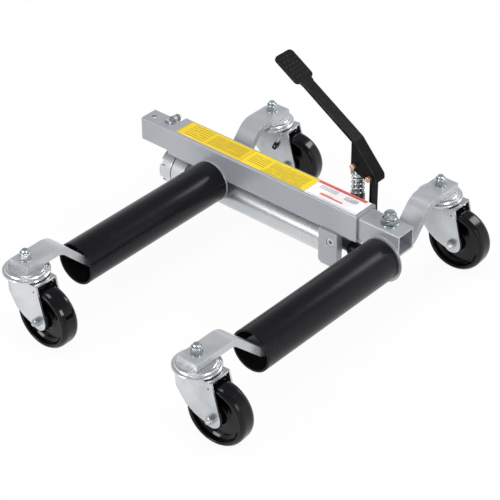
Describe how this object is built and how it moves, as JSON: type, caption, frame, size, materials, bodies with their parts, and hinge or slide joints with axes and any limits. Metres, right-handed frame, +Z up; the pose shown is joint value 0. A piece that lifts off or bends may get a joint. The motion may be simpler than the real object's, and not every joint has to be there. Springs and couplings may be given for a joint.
{
  "type": "vehicle positioning jack",
  "caption": "Hydraulic car-moving jack: a telescoping square beam with roller arms on swivel casters, drawn together by a foot-pumped ram.",
  "frame": {"origin": "on the floor in the middle of the outline", "axes": "+X along the beam towards the sliding arm, +Y from the rollers to the pedal side, +Z up"},
  "size_m": [0.6137, 0.6624, 0.3237],
  "materials": {
    "beam_grey": "satin silver-grey paint",
    "bar_grey": "satin silver-grey paint",
    "ram_zinc": "satin zinc plate",
    "steel": "ground steel",
    "caster_zinc": "bright zinc plate",
    "bolt_zinc": "bright zinc plate",
    "roller_black": "satin black coating",
    "wheel_black": "glossy black plastic",
    "pedal_black": "satin black powder coat",
    "grip_black": "moulded grip",
    "pin_copper": "copper-tinted plate",
    "spring_steel": "bright spring wire",
    "lever_steel": "bright wire",
    "pump_grey": "dark grey paint",
    "bush_white": "nylon",
    "seal_brown": "seal rubber",
    "label_yellow": "printed label film",
    "label_white": "printed label film"
  },
  "bodies": {
    "frame": {"sleeve": "beam_grey", "left_flange": "beam_grey", "left_axle": "steel", "left_front_bar": "bar_grey", "left_back_bar": "bar_grey", "left_races": "caster_zinc", "left_kingpins": "bolt_zinc", "left_balls": "steel", "stub_bolt": "bolt_zinc", "yellow_label": "label_yellow", "white_label": "label_white", "ram_barrel": "ram_zinc", "ram_end_cap": "ram_zinc", "ram_gland": "steel", "pump_block": "beam_grey", "pump_barrel": "pump_grey", "pivot_post": "pedal_black", "pivot_pin": "pin_copper", "return_spring": "spring_steel"},
    "right_arm": {"inner_tube": "beam_grey", "right_flange": "beam_grey", "right_axle": "steel", "right_front_bar": "bar_grey", "right_back_bar": "bar_grey", "right_races": "caster_zinc", "right_kingpins": "bolt_zinc", "right_balls": "steel", "arm_bolt": "bolt_zinc", "arm_nuts": "bolt_zinc", "ram_rod": "steel", "ram_piston": "steel", "piston_seals": "seal_brown", "rod_collar": "roller_black", "rod_bracket": "beam_grey"},
    "left_roller_set": {"left_roller": "roller_black", "left_bushes": "bush_white"},
    "right_roller_set": {"right_roller": "roller_black", "right_bushes": "bush_white"},
    "pedal": {"foot_pedal": "pedal_black", "plunger_pin": "pin_copper"},
    "pump_plunger": {"plunger": "bolt_zinc"},
    "valve": {"release_valve": "bolt_zinc"},
    "lock": {"lock_lever": "lever_steel", "lock_grip": "grip_black"},
    "front_left_swivel": {"front_left_fork": "caster_zinc", "front_left_axle": "bolt_zinc"},
    "front_left_wheel_set": {"front_left_wheel": "wheel_black", "front_left_hub": "steel"},
    "front_right_swivel": {"front_right_fork": "caster_zinc", "front_right_axle": "bolt_zinc"},
    "front_right_wheel_set": {"front_right_wheel": "wheel_black", "front_right_hub": "steel"},
    "back_left_swivel": {"back_left_fork": "caster_zinc", "back_left_axle": "bolt_zinc"},
    "back_left_wheel_set": {"back_left_wheel": "wheel_black", "back_left_hub": "steel"},
    "back_right_swivel": {"back_right_fork": "caster_zinc", "back_right_axle": "bolt_zinc"},
    "back_right_wheel_set": {"back_right_wheel": "wheel_black", "back_right_hub": "steel"}
  },
  "joints": [
    {"name": "arm_slide", "type": "slide", "parent": "frame", "child": "right_arm", "axis": [1, 0, 0], "range_m": [-0.006, 0.17]},
    {"name": "left_roller_spin", "type": "hinge", "parent": "frame", "child": "left_roller_set", "pos_m": [-0.14605, -0.0125, 0.0745], "axis": [0, 1, 0], "continuous": true},
    {"name": "right_roller_spin", "type": "hinge", "parent": "right_arm", "child": "right_roller_set", "pos_m": [0.21195, -0.0125, 0.0745], "axis": [0, 1, 0], "continuous": true},
    {"name": "pedal_swing", "type": "hinge", "parent": "frame", "child": "pedal", "pos_m": [0.14235, 0.2075, 0.17], "axis": [0, -1, 0], "range_deg": [0, 38], "stiffness_Nm_per_rad": 8, "springref_deg": -22.92},
    {"name": "plunger_stroke", "type": "slide", "parent": "frame", "child": "pump_plunger", "axis": [0, 0, -1], "range_m": [0, 0.0222], "deforming": ["return_spring"]},
    {"name": "valve_turn", "type": "hinge", "parent": "frame", "child": "valve", "pos_m": [0.11335, 0.1355, 0.065], "axis": [0, -1, 0], "range_deg": [0, 180]},
    {"name": "front_left_swivel_turn", "type": "hinge", "parent": "frame", "child": "front_left_swivel", "pos_m": [-0.14605, -0.2899, 0.112], "axis": [0, 0, 1], "continuous": true},
    {"name": "front_left_wheel_spin", "type": "hinge", "parent": "front_left_swivel", "child": "front_left_wheel_set", "pos_m": [-0.10405, -0.2899, 0.0528], "axis": [0, 1, 0], "continuous": true},
    {"name": "front_right_swivel_turn", "type": "hinge", "parent": "right_arm", "child": "front_right_swivel", "pos_m": [0.21195, -0.2933, 0.112], "axis": [0, 0, 1], "continuous": true},
    {"name": "front_right_wheel_spin", "type": "hinge", "parent": "front_right_swivel", "child": "front_right_wheel_set", "pos_m": [0.25385, -0.29037, 0.0528], "axis": [-0.0698, 0.9976, 0], "continuous": true},
    {"name": "back_left_swivel_turn", "type": "hinge", "parent": "frame", "child": "back_left_swivel", "pos_m": [-0.14605, 0.2933, 0.112], "axis": [0, 0, 1], "continuous": true},
    {"name": "back_left_wheel_spin", "type": "hinge", "parent": "back_left_swivel", "child": "back_left_wheel_set", "pos_m": [-0.10475, 0.30095, 0.0528], "axis": [-0.1822, 0.9833, 0], "continuous": true},
    {"name": "back_right_swivel_turn", "type": "hinge", "parent": "right_arm", "child": "back_right_swivel", "pos_m": [0.21195, 0.2933, 0.112], "axis": [0, 0, 1], "continuous": true},
    {"name": "back_right_wheel_spin", "type": "hinge", "parent": "back_right_swivel", "child": "back_right_wheel_set", "pos_m": [0.25389, 0.2955, 0.0528], "axis": [-0.0523, 0.9986, 0], "continuous": true},
    {"name": "lock_swing", "type": "hinge", "parent": "back_left_swivel", "child": "lock", "pos_m": [-0.11156, 0.27732, 0.111], "axis": [-0.1822, 0.9833, 0], "range_deg": [0, 45]}
  ],
  "couplings": [
    {"joint": "plunger_stroke", "follows": "pedal_swing", "m_per_rad": 0.033224}
  ]
}
